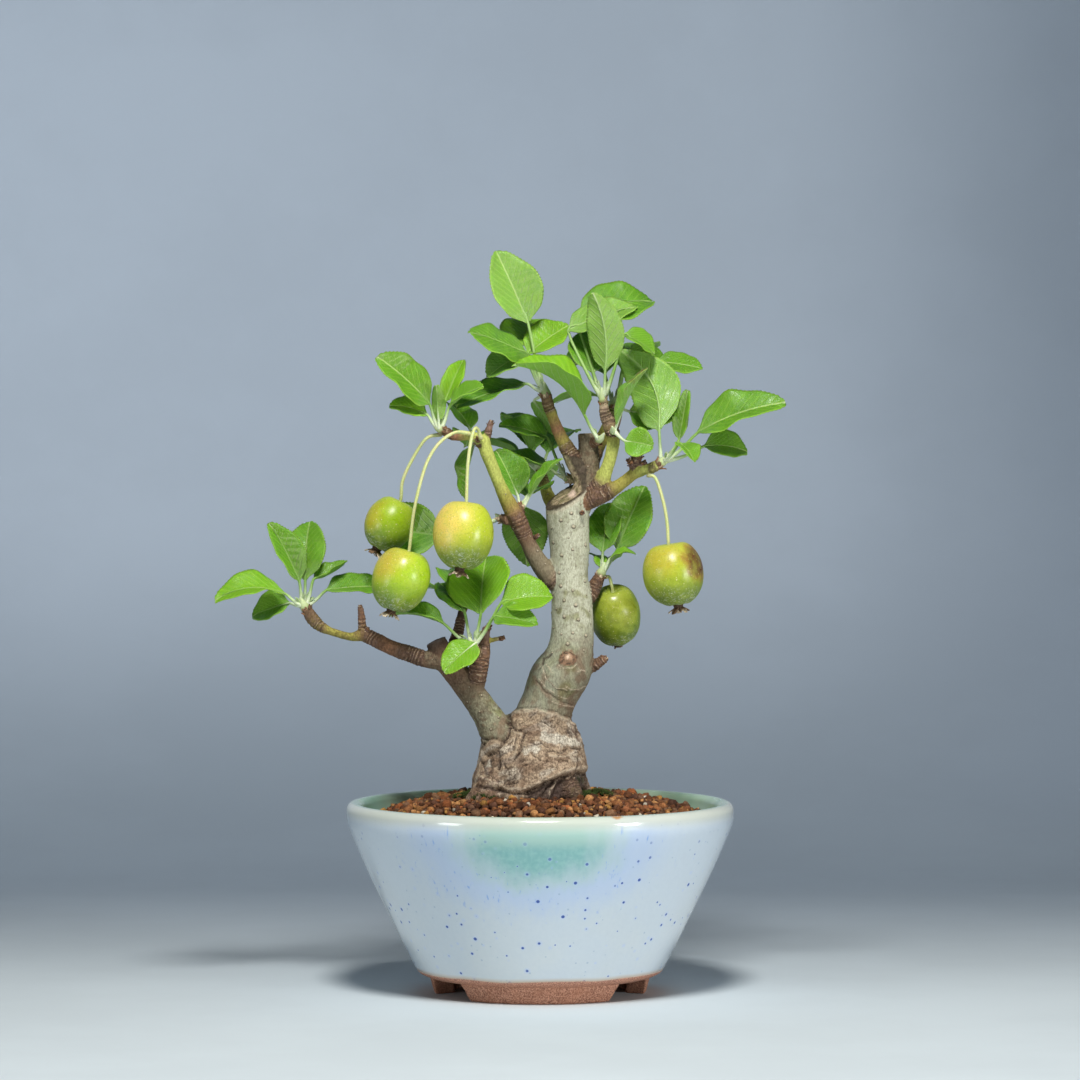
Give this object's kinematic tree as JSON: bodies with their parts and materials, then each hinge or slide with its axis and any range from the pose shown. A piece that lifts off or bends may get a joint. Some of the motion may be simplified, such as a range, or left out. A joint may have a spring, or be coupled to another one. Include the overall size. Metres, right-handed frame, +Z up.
{
  "type": "crabapple bonsai in a pot",
  "caption": "Small fruiting crabapple bonsai with a thick gnarled trunk and leafy spurs, planted in granular soil in a round flared glazed pot on a cut foot ring.",
  "frame": {"origin": "centre of the whole object's bounding box in X and Y, on the plane its feet stand on", "axes": "+Z up along the tree; +X to the viewer's right with the pot's glaze run and one foot facing the viewer; +Y away from the viewer"},
  "size_m": [0.1894, 0.1294, 0.2478],
  "materials": {
    "glazed_stoneware": "gloss",
    "plastic_net": "matte",
    "wire": "satin",
    "fired_clay_soil": "matte",
    "bark": "matte",
    "leaf": "satin",
    "fruit_skin": "satin",
    "fruit_stalk": "satin",
    "dried_calyx": "matte"
  },
  "bodies": {
    "root": {"pot": "glazed_stoneware", "drain_net": "plastic_net", "net_clip": "wire", "soil": "fired_clay_soil", "tree_wood": "bark", "leaves_far_left": "leaf", "leaves_left_crown": "leaf", "leaves_low_front": "leaf", "leaves_crown_left": "leaf", "leaves_crown_right": "leaf", "leaves_right_end": "leaf", "leaves_trunk_right": "leaf", "leaves_behind_branch": "leaf", "leaves_behind_fruit": "leaf", "leaves_branch_top": "leaf", "leaves_crown_middle": "leaf", "leaves_node": "leaf", "leaves_crown_back": "leaf", "leaves_back_left": "leaf", "leaves_back": "leaf", "leaves_low_back": "leaf", "fruit_left_back": "fruit_skin", "fruit_left_back_stalk": "fruit_stalk", "fruit_left_back_calyx": "dried_calyx", "fruit_left_low": "fruit_skin", "fruit_left_low_stalk": "fruit_stalk", "fruit_left_low_calyx": "dried_calyx", "fruit_front": "fruit_skin", "fruit_front_stalk": "fruit_stalk", "fruit_front_calyx": "dried_calyx", "fruit_right": "fruit_skin", "fruit_right_stalk": "fruit_stalk", "fruit_right_calyx": "dried_calyx", "fruit_behind_trunk": "fruit_skin", "fruit_behind_trunk_stalk": "fruit_stalk", "fruit_behind_trunk_calyx": "dried_calyx"}
  },
  "joints": []
}
